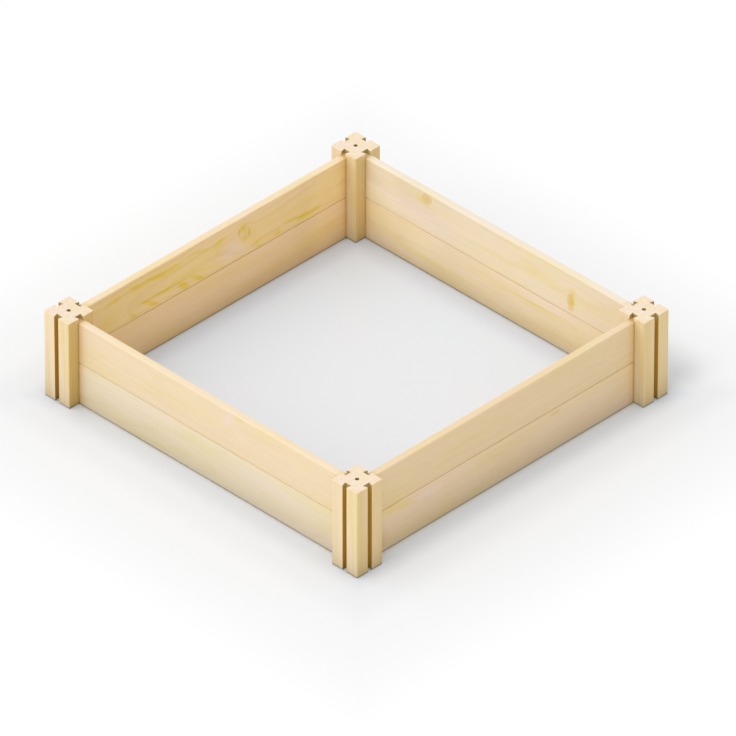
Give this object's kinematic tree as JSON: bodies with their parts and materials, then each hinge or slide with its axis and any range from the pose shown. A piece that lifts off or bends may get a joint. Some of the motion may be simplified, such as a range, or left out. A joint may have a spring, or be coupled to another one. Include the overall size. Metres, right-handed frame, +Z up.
{
  "type": "raised garden bed",
  "caption": "Low square raised bed of untreated pine: grooved corner posts, and boards stacked edge on edge whose dovetailed ends slide down into the posts.",
  "frame": {"origin": "on the ground, in the middle of the bed", "axes": "+Z up, X and Y along the four sides; the front side faces -Y and the right side faces +X"},
  "size_m": [1, 1, 0.235],
  "materials": {
    "post_pine": "untreated pine, planed, pale yellow, matte to faintly satin",
    "board_pine": "untreated pine, planed, pale yellow with darker growth lines and small knots"
  },
  "bodies": {
    "frame": {"post_front_left": "post_pine", "post_front_right": "post_pine", "post_back_right": "post_pine", "post_back_left": "post_pine", "lower_board_front": "board_pine", "lower_board_right": "board_pine", "lower_board_back": "board_pine", "lower_board_left": "board_pine"},
    "upper_board_front": {"upper_board_front": "board_pine"},
    "upper_board_right": {"upper_board_right": "board_pine"},
    "upper_board_back": {"upper_board_back": "board_pine"},
    "upper_board_left": {"upper_board_left": "board_pine"}
  },
  "joints": [
    {"name": "upper_board_front_lift", "type": "slide", "parent": "frame", "child": "upper_board_front", "axis": [0, 0, 1], "range_m": [0, 0.11]},
    {"name": "upper_board_right_lift", "type": "slide", "parent": "frame", "child": "upper_board_right", "axis": [0, 0, 1], "range_m": [0, 0.11]},
    {"name": "upper_board_back_lift", "type": "slide", "parent": "frame", "child": "upper_board_back", "axis": [0, 0, 1], "range_m": [0, 0.11]},
    {"name": "upper_board_left_lift", "type": "slide", "parent": "frame", "child": "upper_board_left", "axis": [0, 0, 1], "range_m": [0, 0.11]}
  ]
}
